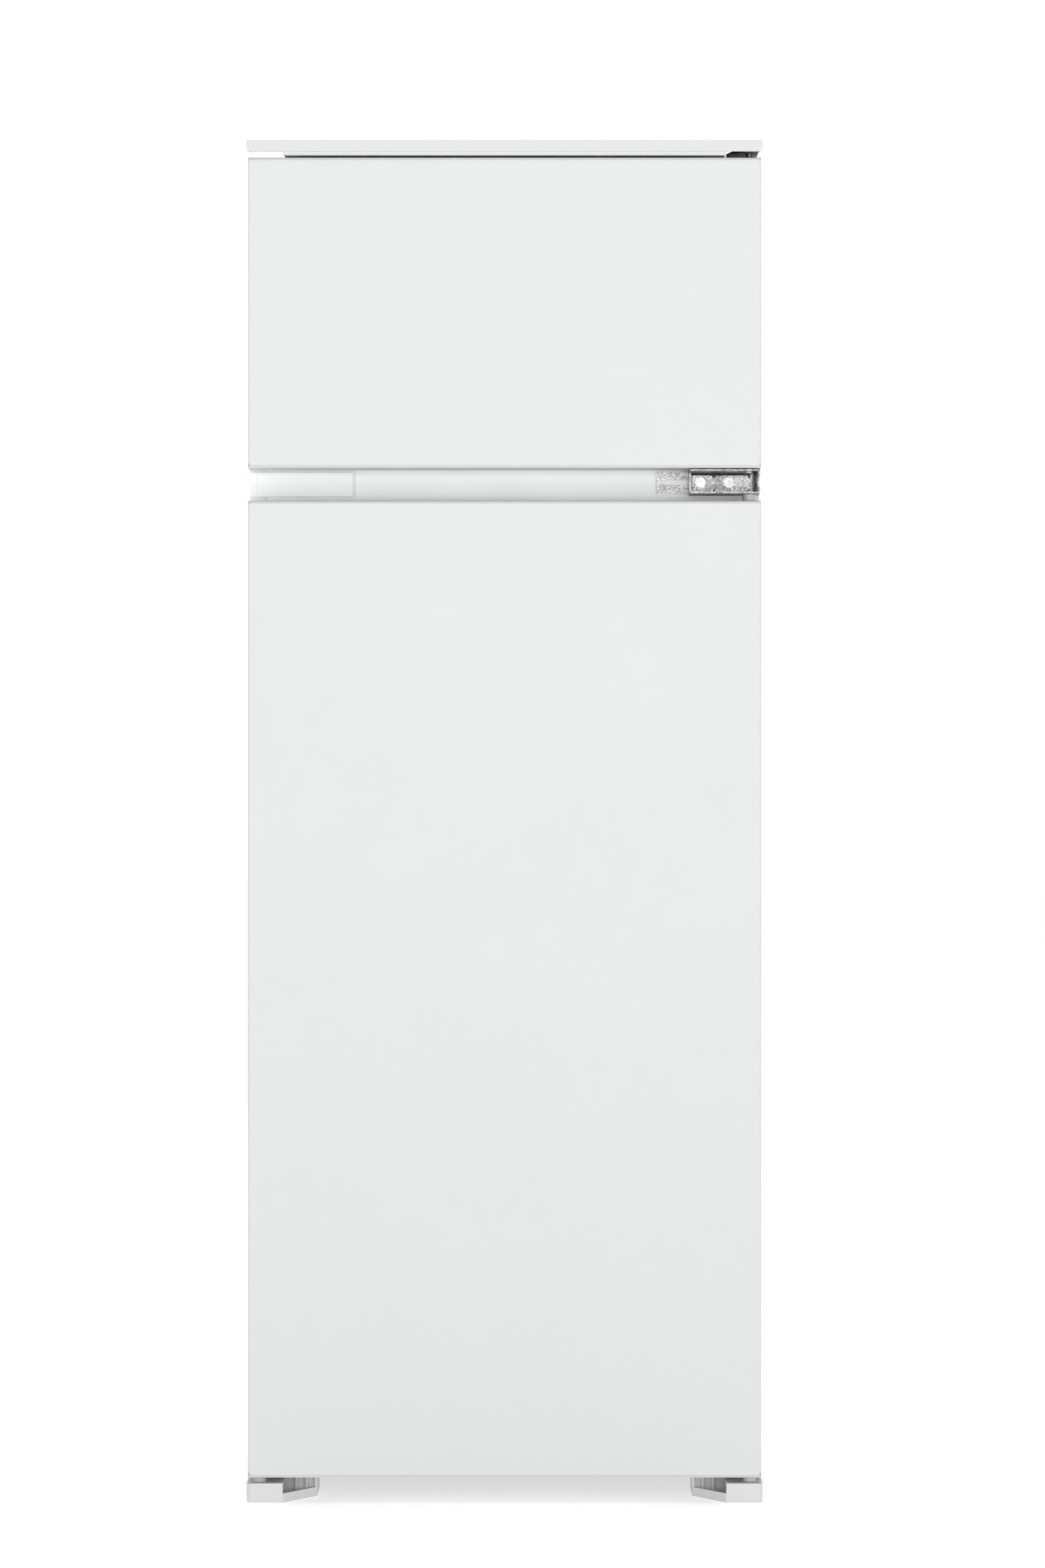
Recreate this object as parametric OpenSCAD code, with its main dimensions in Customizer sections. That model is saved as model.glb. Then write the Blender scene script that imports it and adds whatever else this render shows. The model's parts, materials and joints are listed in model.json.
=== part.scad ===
// Built-in top freezer refrigerator for a 560 mm kitchen niche.
// Frame: origin on the floor under the middle of the appliance, +Z up, the doors face -Y.
// All sizes are in millimetres.

/* [Overall] */
// Width of the cabinet
cabinet_w = 540; // [450:5:650]
// Height from the floor to the top of the trim
total_h = 1425; // [1180:5:1720]
// Depth from the door faces to the rear spacers
total_d = 545; // [500:5:660]
// Height of the freezer door
freezer_door_h = 324.5; // [270:0.5:400]
// Height of the band of cabinet seen between the doors
band_h = 34.5; // [28:0.5:42]

/* [Walls] */
// Insulated wall beside the fridge compartment
fridge_wall = 38; // [31:1:46]
// Insulated wall beside and above the freezer compartment
freezer_wall = 48; // [40:1:58]
// Insulated wall behind the fridge compartment
back_wall = 45; // [36:1:56]
// Insulated floor under the fridge compartment
floor_wall = 42; // [34:1:52]
// Insulated wall around the machine recess
step_wall = 33; // [27:1:40]
// Height of the insulated divider between the compartments
divider_h = 70; // [58:1:84]
// Thickness of the painted steel sheet
sheet = 1; // [0.8:0.1:1.2]
// Thickness of the moulded liners
liner_t = 2; // [1.5:0.1:2.5]

/* [Doors] */
// Thickness of a door from its face to its back
door_t = 40; // [33:1:48]
// Compressed thickness of the door seals
seal_t = 10; // [8:0.5:12]
// How far each door edge stands in from the cabinet side
door_inset = 1.5; // [1:0.5:2]
// Visible edge of the plastic door end caps
cap_edge = 3; // [2.5:0.5:4]
// Radius of the door face's edges
face_r = 2.5; // [2:0.1:3]
// How far the door racks reach behind the cabinet's front plane
rack_reach = 95; // [79:1:114]

/* [Hinges] */
// Radius of the hinge pins
pin_r = 4; // [3.3:0.1:4.8]
// Hinge axis, in from the cabinet side
pivot_in = 13; // [11:0.5:15.5]
// Hinge axis, behind the door face
pivot_back = 20.5; // [17:0.5:24.5]
// Radial clearance of a pin in its bush
pin_fit = 0.08; // [0.05:0.01:0.1]
// Length of the middle hinge arm
arm_l = 73; // [61:1:88]

/* [Feet and trim] */
// Height of the feet under the cabinet
foot_h = 25; // [21:1:30]
// Height of the top trim's front strip
trim_h = 12; // [10:0.5:15]
// Gap between the freezer door and the top trim
head_gap = 6.5; // [5.5:0.5:8]

/* [Machine recess] */
// Space left above the compressor for the drip tray
tray_space = 45; // [38:1:54]
// Space left in front of the compressor and behind it
can_gap = 17; // [14:1:20]
// Space behind the back panel for the condenser
rear_space = 35; // [30:1:42]
// Radius of the compressor's can
can_r = 68; // [57:1:82]
// Height of the compressor's can
can_h = 135; // [112:1:162]
// Radius of the condenser tube
coil_r = 2.4; // [2:0.1:2.8]
// Distance between the condenser's runs
coil_pitch = 48; // [40:1:58]

/* [Interior] */
// Number of glass shelves above the crisper cover
shelf_n = 3; // [2:1:4]
// Thickness of the shelf glass
glass_t = 4; // [3:0.5:5]
// Space between the closed door's racks and the shelves
shelf_clear = 14; // [12:1:17]

/* [Hidden] */
$fn = 48;
fit = 0.3;          // gap between pieces that nest
eps = 1;            // how far a cutter runs past a face
half_w = cabinet_w / 2;
lip = 1;            // cover lip that wraps the cabinet's side
shell = half_w - lip;
front_y = -total_d / 2;
door_back = front_y + door_t;
frame_y = door_back + seal_t;
back_y = total_d / 2 - rear_space;
base_z = foot_h;
roof_z = total_h - trim_h;
door_half = half_w - door_inset;
sill_gap = 1;
fridge_door_z0 = base_z + sill_gap;
freezer_door_z1 = roof_z - head_gap;
freezer_door_z0 = freezer_door_z1 - freezer_door_h;
fridge_door_z1 = freezer_door_z0 - band_h;
mid_z = (fridge_door_z1 + freezer_door_z0) / 2;
pivot_x = half_w - pivot_in;
pivot_y = front_y + pivot_back;

// compartments
corner_r = 18;
corner_cut = corner_r + 1;
foam_cut = 0.2;
fridge_half = half_w - fridge_wall;
fridge_z0 = base_z + floor_wall;
fridge_z1 = mid_z - divider_h / 2;
fridge_back = back_y - back_wall;
freezer_half = half_w - freezer_wall;
freezer_z0 = mid_z + divider_h / 2;
freezer_z1 = roof_z - freezer_wall;
freezer_back = fridge_back - 10;
can_lift = 15;      // the compressor's can stands this high on its grommets
recess_z = base_z + can_lift + can_h + tray_space;
recess_y = back_y - 2 * (can_r + can_gap);
step_z = recess_z + step_wall;
step_y = recess_y - step_wall;

// front frame
flange_w = 18;      // folded front edge of the side, top and bottom panels
frame_half = shell - flange_w - fit;
bar_h = band_h + 11.5;
bar_t = 2.5;
bar_z0 = mid_z - bar_h / 2;
bar_z1 = mid_z + bar_h / 2;
rail_t = 12;        // steel rail behind the crossbar cover
rail_h = bar_h - 12;

// shelves
ledge_w = 9;
ledge_t = 8;
shelf_side = 1.5;
trim_front = 9;
shelf_y0 = frame_y + rack_reach + shelf_clear + trim_front;
shelf_y1 = fridge_back - 6;
shelf_gap = (fridge_z1 - step_z) / (shelf_n + 1);
shelf_z = [for (i = [1 : shelf_n]) step_z + i * shelf_gap];
cover_y1 = step_y - 1;
freezer_shelf_z = (freezer_z0 + freezer_z1) / 2;

// crispers
crisper_y0 = frame_y + rack_reach + 20;
crisper_y1 = step_y - 8;
crisper_z0 = fridge_z0 + fit;
crisper_z1 = step_z - ledge_t - 1;
crisper_x0 = 3;
crisper_x1 = fridge_half - 8;
crisper_t = 2.5;
grip_d = 10;

// middle hinge
arm_t = 2;
arm_h = band_h - 9;
arm_x1 = half_w - 2.5;
arm_x0 = arm_x1 - arm_l;
arm_z1 = freezer_door_z0 - 1;
arm_z0 = arm_z1 - arm_h;
arm_y0 = front_y + 4;
plate_t = 1.5;
plate_x0 = arm_x0 - 34.5;
plate_h = arm_h - 3;
arm_y1 = frame_y - plate_t;
screw_z = arm_z1 - plate_h / 2;
arm_screws = [arm_x0 + 12, arm_x0 + 42];
slot_h = 5;
stub = 13;          // how far a pin reaches into a door
collar_z = arm_z0 - fridge_door_z1;
gusset_w = 3.2;
gusset_h = 6;
gussets = [for (f = [0.36, 0.87]) arm_x0 + f * arm_l];
fold_r = 2.6;       // inner radius of the arm's folds
pin_head = 1.1;

// top hinge and trim
hinge_t = 3;
top_screws = [for (p = [[12, 14], [28, 14], [20, 48]]) [half_w - p[0], frame_y + p[1]]];
trim_d = 60;
trim_wall = 3;
rail_half = half_w - 38;
rail_y0 = front_y + trim_wall + fit;
rail_lip = head_gap * 0.6;

// doors
plug_y = frame_y + 8;
dyke_y = frame_y + 38;
dyke_w = 17;
seal_in = 13;
seal_in_z = 7;
seal_w = 9;
bush_r = 7;
bush_l = 16;
cap_boss_r = min(door_half - sheet - fit - pivot_x - 0.1, 11);
cap_deep = 6;

// racks: height above the fridge floor as a share of the door liner, and wall height
rack_t = 2.5;
lug = [5, 10, 12];
rack_half = fridge_half - 8 - dyke_w - 0.5;
freezer_rack_half = freezer_half - 8 - dyke_w - 0.5;
rack_y0 = plug_y + 0.5;
rack_y1 = frame_y + rack_reach;
freezer_rack_y1 = rack_y1 - 18;
plug_z0 = fridge_z0 + 6;
plug_z1 = fridge_z1 - 8;
rack_step = (plug_z1 - plug_z0) / 4;
freezer_plug_z0 = freezer_z0 + 6;
freezer_plug_z1 = freezer_z1 - 6;

// condenser
coil_y = back_y + rear_space / 2;
coil_half = half_w - 82;
coil_bend = coil_pitch / 2;
coil_runs = 2 * floor((roof_z - recess_z - 330) / coil_pitch / 2) + 1;
coil_z0 = recess_z + 80;
coil_z1 = coil_z0 + (coil_runs - 1) * coil_pitch;
wire_r = 0.9;
wire_pitch = 12;
bracket_x = coil_half - 45;
bracket_w = 24;

// compressor
plate_z = base_z;
can_x = half_w - 112 - can_r;
can_y = recess_y + can_r + can_gap;
can_z0 = plate_z + can_lift;
can_z1 = can_z0 + can_h;
grommets = [for (x = [-1, 1], y = [-1, 1]) [can_x + x * (can_r + 17), can_y + y * 45]];

tray_z = can_z1;
tray_h = tray_space - 15;
tray_w = 2 * can_r - 6;
tray_d = 2 * can_r - 10;
drain_r = 7;
drain_x = can_x - can_r + 26;
drain_y = can_y + 12;
drier_x = 60 - half_w;
drier_y = back_y - 40;
drier_z = recess_z - 60;
evap_t = 1.6;

// feet
foot_wall = 2.5;
foot_front_h = foot_h - 5;
foot_wing_h = foot_h * 0.38;
pivot_boss_r = 6.7;
foot_box_x = half_w - 38;
foot_end_x = half_w - 72;
foot_y1 = frame_y + 60;
foot_hole = [half_w - 52, frame_y - 12];
foot_screw_x = [half_w - 60, half_w - 24];

// control housing
box_y0 = frame_y + 50;
box_y1 = box_y0 + 112;
box_h = 36;
box_half = 105;
box_z0 = fridge_z1 - box_h;
knob_x = -62;
knob_z = fridge_z1 - 18;
knob_r = 13;
spindle_r = 3;
lens_x0 = -8;
lens_x1 = 92;

// door switch
switch_x = half_w - 108;
switch_w = 24;
switch_h = 16;
switch_y0 = frame_y + 14;
plunger_w = 8;
plunger_h = 6;
plunger_z = fridge_z1 - 12.5;

// ---------- shared shapes ----------

// a block from its lowest to its highest corner
module span(lo, hi) translate(lo) cube(hi - lo);

// a block that is centred on x
module slab(half, y0, y1, z0, z1) span([-half, y0, z0], [half, y1, z1]);

// a rectangle with round corners, centred on x and standing on y = 0
module round_rect(w, h, r) {
    translate([r - w / 2, 0]) square([w - 2 * r, h]);
    translate([-w / 2, r]) square([w, h - 2 * r]);
    for (x = [r - w / 2, w / 2 - r], y = [r, h - r]) translate([x, y]) circle(r);
}

// a flat outline in x and z, drawn out from y0 to y1
module along_y(y0, y1) translate([0, y1, 0]) rotate([90, 0, 0]) linear_extrude(y1 - y0) children();

// a flat outline in y and z, drawn out from x0 to x1
module along_x(x0, x1) translate([x0, 0, 0]) rotate([90, 0, 90]) linear_extrude(x1 - x0) children();

module both_sides() {
    children();
    mirror([1, 0, 0]) children();
}

// a pan-head screw along -Y with its head's seat at y = 0
module pan_screw(head_r, head_h, shank_r, shank_l) {
    difference() {
        rotate([90, 0, 0]) {
            cylinder(r = head_r, h = head_h * 0.35);
            cylinder(r = head_r * 0.78, h = head_h);
        }
        for (a = [0, 90]) rotate([0, a, 0]) translate([-head_r * 0.5, -head_h - eps, -0.5])
            cube([head_r, head_h * 0.6 + eps, 1]);
    }
    rotate([-90, 0, 0]) cylinder(r = shank_r, h = shank_l);
}

// points along a route whose corners are rounded, n steps to a corner
function unit(v) = v / norm(v);
function corner(a, b, c, r, n) = let (p = b + unit(a - b) * r, q = b + unit(c - b) * r)
    [for (i = [0 : n]) let (t = i / n) p * (1 - t) * (1 - t) + b * 2 * t * (1 - t) + q * t * t];
function rounded(p, r, n = 5) = [p[0],
    for (i = [1 : len(p) - 2]) each corner(p[i - 1], p[i], p[i + 1], r, n), p[len(p) - 1]];

// a tube of radius r swept along points, one ring square to the route at each point
module sweep(points, r, sides = 8) {
    n = len(points);
    ahead = [for (i = [0 : n - 1]) unit(points[min(i + 1, n - 1)] - points[max(i - 1, 0)])];
    side0 = abs(ahead[0][2]) > 0.9 ? [1, 0, 0] : unit(cross(ahead[0], [0, 0, 1]));
    sides_at = [for (i = 0, s = side0; i < n;
        i = i + 1, s = i < n ? unit(s - ahead[i] * (s * ahead[i])) : s) s];
    ring = [for (i = [0 : n - 1], k = [0 : sides - 1])
        let (s = sides_at[i], u = cross(ahead[i], s), a = 360 * k / sides)
        points[i] + r * (cos(a) * s + sin(a) * u)];
    faces = concat(
        [for (i = [0 : n - 2], k = [0 : sides - 1])
            [i * sides + k, i * sides + (k + 1) % sides,
                (i + 1) * sides + (k + 1) % sides, (i + 1) * sides + k]],
        [[for (k = [sides - 1 : -1 : 0]) k]],
        [[for (k = [0 : sides - 1]) (n - 1) * sides + k]]);
    polyhedron(points = ring, faces = [for (f = faces) [for (k = [len(f) - 1 : -1 : 0]) f[k]]]);
}

// ---------- cabinet ----------

module side_panel() {
    span([shell - sheet, frame_y, base_z], [shell, back_y, roof_z]);
    span([shell - flange_w, frame_y, base_z], [shell, frame_y + sheet, roof_z]);
}

module left_side_panel() color("white") mirror([1, 0, 0]) side_panel();
module right_side_panel() color("white") side_panel();

module top_panel() color("white") {
    slab(shell - sheet, frame_y + sheet, back_y, roof_z - sheet, roof_z);
    slab(frame_half, frame_y, frame_y + sheet, roof_z - flange_w, roof_z);
}

module bottom_panel() color("silver") {
    half = shell - sheet;
    slab(half, frame_y + sheet, recess_y, base_z, base_z + sheet);
    slab(frame_half, frame_y, frame_y + sheet, base_z, base_z + flange_w);
    slab(half, recess_y - sheet, recess_y, base_z, recess_z + sheet);
    difference() {
        slab(half, recess_y - sheet, back_y - sheet, recess_z, recess_z + sheet);
        translate([drain_x, drain_y, recess_z - eps]) cylinder(r = drain_r + fit, h = sheet + 2 * eps);
    }
}

module back_panel() color("silver")
    slab(shell - sheet, back_y - sheet, back_y, recess_z, roof_z - sheet);

// inner space of the fridge compartment, grown by g on every side but the front
module fridge_space(g, y0) {
    along_y(y0, step_y + g) translate([0, fridge_z0 - g])
        round_rect(2 * (fridge_half + g), fridge_z1 - fridge_z0 + 2 * g, corner_r + g);
    along_y(y0, fridge_back + g) translate([0, step_z - g])
        round_rect(2 * (fridge_half + g), fridge_z1 - step_z + 2 * g, corner_r + g);
}

module freezer_space(g, y0) along_y(y0, freezer_back + g) translate([0, freezer_z0 - g])
    round_rect(2 * (freezer_half + g), freezer_z1 - freezer_z0 + 2 * g, corner_r + g);

// a saw cut: a flat box, half a cut larger all round than the plane it is given
module cut(lo, hi) span([for (v = lo) v - foam_cut / 2], [for (v = hi) v + foam_cut / 2]);

// cuts that part the foam into plain blocks and corner pieces
module foam_cuts() {
    g = liner_t + fit;
    low = base_z;
    over = recess_z + sheet;
    cut([-half_w, frame_y, mid_z], [half_w, back_y, mid_z]);
    cut([-half_w, freezer_back + g, mid_z], [half_w, freezer_back + g, roof_z]);
    cut([-half_w, fridge_back + g, over], [half_w, fridge_back + g, mid_z]);
    cut([-half_w, step_y + g, low], [half_w, step_y + g, step_z + corner_cut]);
    cut([-half_w, step_y + g, over], [half_w, recess_y, over]);
    for (z = [freezer_z0 + corner_cut, freezer_z1 - corner_cut])
        cut([-half_w, frame_y, z], [half_w, freezer_back + g, z]);
    for (z = [step_z + corner_cut, fridge_z1 - corner_cut])
        cut([-half_w, frame_y, z], [half_w, fridge_back + g, z]);
    cut([-half_w, frame_y, fridge_z0 + corner_cut], [half_w, step_y + g, fridge_z0 + corner_cut]);
    for (s = [-1, 1]) {
        x0 = s * (freezer_half - corner_cut);
        x1 = s * (fridge_half - corner_cut);
        cut([x0, frame_y, mid_z], [x0, freezer_back + g, roof_z]);
        cut([x1, frame_y, low], [x1, fridge_back + g, mid_z]);
    }
}

module cabinet_foam() color("khaki") difference() {
    slab(shell - sheet, frame_y + bar_t + fit, back_y - sheet, base_z + sheet, roof_z - sheet);
    slab(half_w, recess_y - sheet, back_y, 0, recess_z + sheet);
    fridge_space(liner_t + fit, frame_y);
    freezer_space(liner_t + fit, frame_y);
    slab(frame_half, frame_y, frame_y + bar_t + rail_t, mid_z - rail_h / 2, mid_z + rail_h / 2);
    evaporators();
    translate([drain_x, drain_y, recess_z - eps]) cylinder(r = drain_r + fit, h = step_wall + 2 * eps);
    foam_cuts();
}

module shelf_ledges(half, y0, y1, z) both_sides()
    span([half - ledge_w, y0, z - ledge_t], [half + liner_t / 2, y1, z]);

module fridge_liner() color("white") difference() {
    union() {
        difference() {
            union() {
                fridge_space(liner_t, frame_y);
                slab(frame_half, frame_y, frame_y + liner_t, base_z + flange_w + fit, bar_z0 - fit);
            }
            fridge_space(0, frame_y - eps);
        }
        for (z = shelf_z) shelf_ledges(fridge_half, shelf_y0 + trim_front + 2, shelf_y1 - 12, z);
        shelf_ledges(fridge_half, shelf_y0 + trim_front + 2, step_y - 8, step_z);
    }
    translate([drain_x, drain_y, step_z - liner_t - eps]) cylinder(r = drain_r - 2, h = liner_t + 2 * eps);
}

module freezer_liner() color("white") {
    difference() {
        union() {
            freezer_space(liner_t, frame_y);
            slab(frame_half, frame_y, frame_y + liner_t, bar_z1 + fit, roof_z - flange_w - fit);
        }
        freezer_space(0, frame_y - eps);
    }
    shelf_ledges(freezer_half, freezer_rack_y1 + 13, freezer_back - 6, freezer_shelf_z);
}

module crossbar_cover() color("white") difference() {
    slab(frame_half, frame_y, frame_y + bar_t, bar_z0, bar_z1);
    for (x = arm_screws) translate([x, frame_y - eps, screw_z]) rotate([-90, 0, 0])
        cylinder(r = 2.5, h = bar_t + 2 * eps);
}

module crossbar_rail() color("silver") {
    y1 = frame_y + bar_t + rail_t;
    difference() {
        slab(frame_half, frame_y + bar_t, y1, mid_z - rail_h / 2, mid_z + rail_h / 2);
        slab(half_w, frame_y + bar_t + 2, y1 + eps, mid_z - rail_h / 2 + 2, mid_z + rail_h / 2 - 2);
        for (x = arm_screws) translate([x, frame_y, screw_z]) rotate([-90, 0, 0])
            cylinder(r = 2.5, h = rail_t);
    }
}

// a strip with a rounded front outline, closed above
module top_trim() color("white") difference() {
    along_y(front_y, front_y + trim_d) translate([0, roof_z]) round_rect(cabinet_w, trim_h, 2);
    span([-half_w + 2, front_y + trim_wall, roof_z - eps], [half_w - 2, front_y + trim_d + eps, total_h - 2]);
    for (s = [-1, 1]) translate([s * half_w, front_y + trim_wall + trim_d / 2, roof_z])
        cube([8, trim_d, 2 * (trim_h - 5)], center = true);
}

module trim_rail() color("white") difference() {
    union() {
        slab(rail_half, rail_y0, frame_y + 40, roof_z, roof_z + 2);
        slab(rail_half, rail_y0, rail_y0 + 1.8, roof_z - rail_lip, roof_z + 1);
        for (y = [front_y + 12, frame_y - 4])
            slab(rail_half, y, y + 2, roof_z, total_h - 2 - fit);
        for (x = [-1, 1]) translate([x * rail_half * 0.86, rail_y0 + 4, roof_z + 3])
            cube([20, 8, 6], center = true);
    }
    for (x = [-1, 1]) translate([x * rail_half * 0.6, frame_y + 22, roof_z - eps])
        cylinder(r = 2.5, h = 4 + eps);
}

// snap-on cover over the unused hinge holes, wrapped round the cabinet's edge
module hinge_hole_cover() color("white") {
    depth = 3.5;
    w = 113;
    h = arm_h - 0.5;
    y0 = frame_y - depth;
    z0 = arm_z0 - 0.5;
    difference() {
        along_y(y0, frame_y) translate([w / 2 - half_w, z0]) round_rect(w, h, 2);
        span([8 - half_w, y0 - eps, z0 - eps], [12 - half_w, y0 + 1, z0 + h + eps]);
        translate([w - half_w, y0, z0]) rotate([0, 0, 45]) cube([8, 5, 3 * h], center = true);
    }
    span([-half_w, frame_y - eps, z0 + 2], [-shell, frame_y + 24, z0 + h - 2]);
}

// ---------- hinges ----------

module arm_outline(extra) difference() {
    union() {
        translate([arm_x0, arm_y0]) square([arm_l, arm_y1 - arm_y0 - 6]);
        translate([arm_x0, arm_y1 - 6]) square([arm_l - 6, 6]);
        translate([arm_x1 - 6, arm_y1 - 6]) circle(6);
    }
    if (extra > 0) {
        translate([arm_x0 - eps, arm_y0 - eps])
            square([arm_l - extra + eps, arm_y1 - arm_y0 - 4 - extra + eps]);
        translate([arm_x0 - eps, arm_y1 - 8]) square([arm_l - 6 - extra + eps, 8 - extra]);
        translate([arm_x1 - 8, arm_y1 - 8]) circle(8 - extra);
    }
}

// pressed gusset: a three-sided point between the web and a flange, sunk into both
module gusset(x, z, up) translate([x, arm_y1 - arm_t, z]) mirror([0, 0, up ? 0 : 1]) polyhedron(
    points = [[-gusset_w, 0.5, -0.5], [gusset_w, 0.5, -0.5], [0, 0.5, gusset_h], [0, -gusset_h, -0.5]],
    faces = [[0, 1, 2], [0, 3, 1], [1, 3, 2], [2, 3, 0]]);

// rounded inner corner of a fold: y and z run away from the corner, along x from x0 to x1
module fold_fill(x0, x1) along_x(x0, x1) difference() {
    translate([-fold_r, -0.5]) square([fold_r + 0.5, fold_r + 0.5]);
    translate([-fold_r - 0.02, fold_r + 0.02]) circle(fold_r);
}

module middle_hinge_arm() color("lightgrey") difference() {
    union() {
        for (z = [arm_z0, arm_z1 - arm_t]) translate([0, 0, z]) linear_extrude(arm_t) arm_outline(0);
        translate([0, 0, arm_z0]) linear_extrude(arm_h) arm_outline(arm_t);
        span([arm_x0, arm_y1 - 9, arm_z0], [arm_x0 + arm_t, arm_y1, arm_z1]);
        for (x = gussets) {
            gusset(x, arm_z0 + arm_t, true);
            gusset(x, arm_z1 - arm_t, false);
        }
        translate([0, arm_y1 - arm_t, arm_z0 + arm_t]) fold_fill(arm_x0 + 1, arm_x1 - 8.1);
        translate([0, arm_y1 - arm_t, arm_z1 - arm_t]) mirror([0, 0, 1])
            fold_fill(arm_x0 + 1, arm_x1 - 8.1);
    }
    for (x = arm_screws) translate([x, arm_y1 + eps, screw_z]) rotate([90, 0, 0])
        cylinder(r = 2.6, h = arm_t + 2 * eps);
    translate([pivot_x, pivot_y, arm_z0 - eps]) cylinder(r = pin_r + 0.05, h = arm_h + 2 * eps);
    span([arm_x1 - arm_t - eps, arm_y0 - eps, arm_z0 + 7], [arm_x1 + eps, arm_y0 + 14, arm_z1 - 7]);
}

module middle_hinge_plate() color("lightgrey") {
    x1 = arm_x0 + 55;
    z0 = arm_z1 - plate_h;
    fold_x = plate_x0 + 26;
    difference() {
        union() {
            along_y(frame_y - plate_t, frame_y) translate([(plate_x0 + x1) / 2, z0])
                round_rect(x1 - plate_x0, plate_h, 0.6);
            for (z = [z0, arm_z1 - 1.5])
                span([fold_x, frame_y - plate_t - 2.5, z], [arm_x0 - 0.5, frame_y - plate_t + 0.5, z + 1.5]);
        }
        for (z = [z0, arm_z1]) translate([fold_x - 2, frame_y - plate_t / 2, z]) rotate([0, 45, 0])
            cube([3.2, 4 * plate_t, 3.2], center = true);
        along_y(frame_y - plate_t - eps, frame_y + eps) translate([plate_x0 + 33.5, screw_z - slot_h / 2])
            round_rect(57, slot_h, slot_h / 2 - 0.01);
        translate([arm_screws[1], frame_y + eps, screw_z]) rotate([90, 0, 0])
            cylinder(r = 2.6, h = plate_t + 2 * eps);
    }
}

// two pins, each riveted through a flange of the arm
module middle_hinge_pin() color("silver") translate([pivot_x, pivot_y, 0]) {
    low = fridge_door_z1 - stub;
    translate([0, 0, low]) cylinder(r = pin_r, h = arm_z0 + arm_t + 0.1 - low);
    translate([0, 0, arm_z0 + arm_t + 0.02]) cylinder(r = pin_r + 1.8, h = pin_head);
    translate([0, 0, arm_z1 - arm_t - 0.1]) cylinder(r = pin_r, h = arm_t + 1.1 + stub);
    translate([0, 0, arm_z1 - arm_t - pin_head - 0.02]) cylinder(r = pin_r + 1.8, h = pin_head);
}

module top_hinge() color("dimgrey") {
    translate([0, 0, roof_z]) linear_extrude(hinge_t) difference() {
        polygon([[half_w - 36, frame_y + 62], [half_w - 4, frame_y + 62], [half_w - 4, front_y + 8],
            [half_w - 19, front_y + 8], [half_w - 30, front_y + 20], [half_w - 36, frame_y - 6]]);
        for (p = top_screws) translate(p) circle(2.6);
    }
    translate([pivot_x, pivot_y, freezer_door_z1 - stub])
        cylinder(r = pin_r, h = roof_z + hinge_t + 1 + stub - freezer_door_z1);
}

module hinge_screws() color("silver") {
    for (x = arm_screws) translate([x, arm_y1 - arm_t, screw_z]) pan_screw(5.5, 2.8, 2.4, 16);
    for (p = top_screws) translate([p[0], p[1], roof_z + hinge_t]) rotate([-90, 0, 0])
        pan_screw(4.5, 2.4, 2.4, hinge_t - 0.2);
    for (x = [-1, 1]) translate([x * rail_half * 0.6, frame_y + 22, roof_z + 2]) rotate([-90, 0, 0])
        pan_screw(4.5, 2.4, 2.3, 1.8);
}

// ---------- feet ----------

module foot_outline() {
    r = 5;
    translate([half_w - r, front_y + r]) circle(r);
    polygon([[half_w, front_y + r], [half_w, foot_y1], [foot_end_x, foot_y1], [foot_end_x, frame_y - 4],
        [foot_box_x, front_y], [half_w - r, front_y], [half_w - r, front_y + r]]);
}

module foot() difference() {
    union() {
        linear_extrude(foot_wall) foot_outline();
        linear_extrude(foot_front_h) difference() {
            foot_outline();
            translate([0, front_y + foot_wall]) square([half_w - foot_wall, total_d]);
            translate([0, front_y - eps]) square([foot_box_x, total_d]);
        }
        linear_extrude(foot_wing_h) polygon([[foot_box_x, front_y], [foot_box_x + 3, front_y + foot_wall],
            [foot_end_x + foot_wall, frame_y - 3], [foot_end_x, frame_y - 4]]);
        span([foot_end_x, frame_y - 4, 0], [foot_end_x + foot_wall, foot_y1, foot_h]);
        span([half_w - foot_wall, frame_y + 1, 0], [half_w, foot_y1, foot_h]);
        for (y = [frame_y + 1, foot_y1 - foot_wall])
            span([foot_end_x, y, 0], [half_w, y + foot_wall, foot_h]);
        span([foot_end_x, frame_y + 1, foot_h - foot_wall], [half_w, foot_y1, foot_h]);
        for (x = foot_screw_x) translate([x, frame_y + 32, 0]) cylinder(r = 5, h = foot_h);
        span([foot_box_x, front_y + 5, foot_front_h - 2], [half_w, frame_y + 1, foot_front_h]);
        for (x = [foot_end_x + 10, foot_end_x + 21])
            span([x, frame_y - 5, 0], [x + 2, frame_y + 2, foot_h]);
        span([pivot_x - 1.2, front_y + 1, 0], [pivot_x + 1.2, frame_y + 2, foot_front_h - 1]);
        translate([pivot_x, pivot_y, 0]) cylinder(r = pivot_boss_r, h = foot_h - 0.4);
    }
    translate([pivot_x, pivot_y, 5]) cylinder(r = pin_r + 0.05, h = foot_h);
    for (x = foot_screw_x) translate([x, frame_y + 32, -eps]) cylinder(r = 2.2, h = foot_h + 2 * eps);
    translate([foot_hole[0], foot_hole[1], -eps]) cylinder(r = 2.5, h = foot_wall + 2 * eps);
}

module right_foot() color("white") foot();

// the unused pivot on this side is closed by a moulded disc
module left_foot() color("white") mirror([1, 0, 0]) foot();

module lower_hinge_pin() color("silver") translate([pivot_x, pivot_y, 5])
    cylinder(r = pin_r, h = fridge_door_z0 + stub - 5);

module foot_screws() color("silver") for (s = [-1, 1], x = foot_screw_x)
    translate([s * x, frame_y + 32, 1.2]) cylinder(r = 2, h = foot_h - 1.3);

module rear_skids() color("dimgrey") both_sides() difference() {
    span([half_w - 70, back_y - 60, 0], [half_w - 20, back_y - 12, base_z]);
    span([half_w - 66, back_y - 56, -eps], [half_w - 24, back_y - 16, base_z - 4]);
}

// ---------- cooling system ----------

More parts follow.
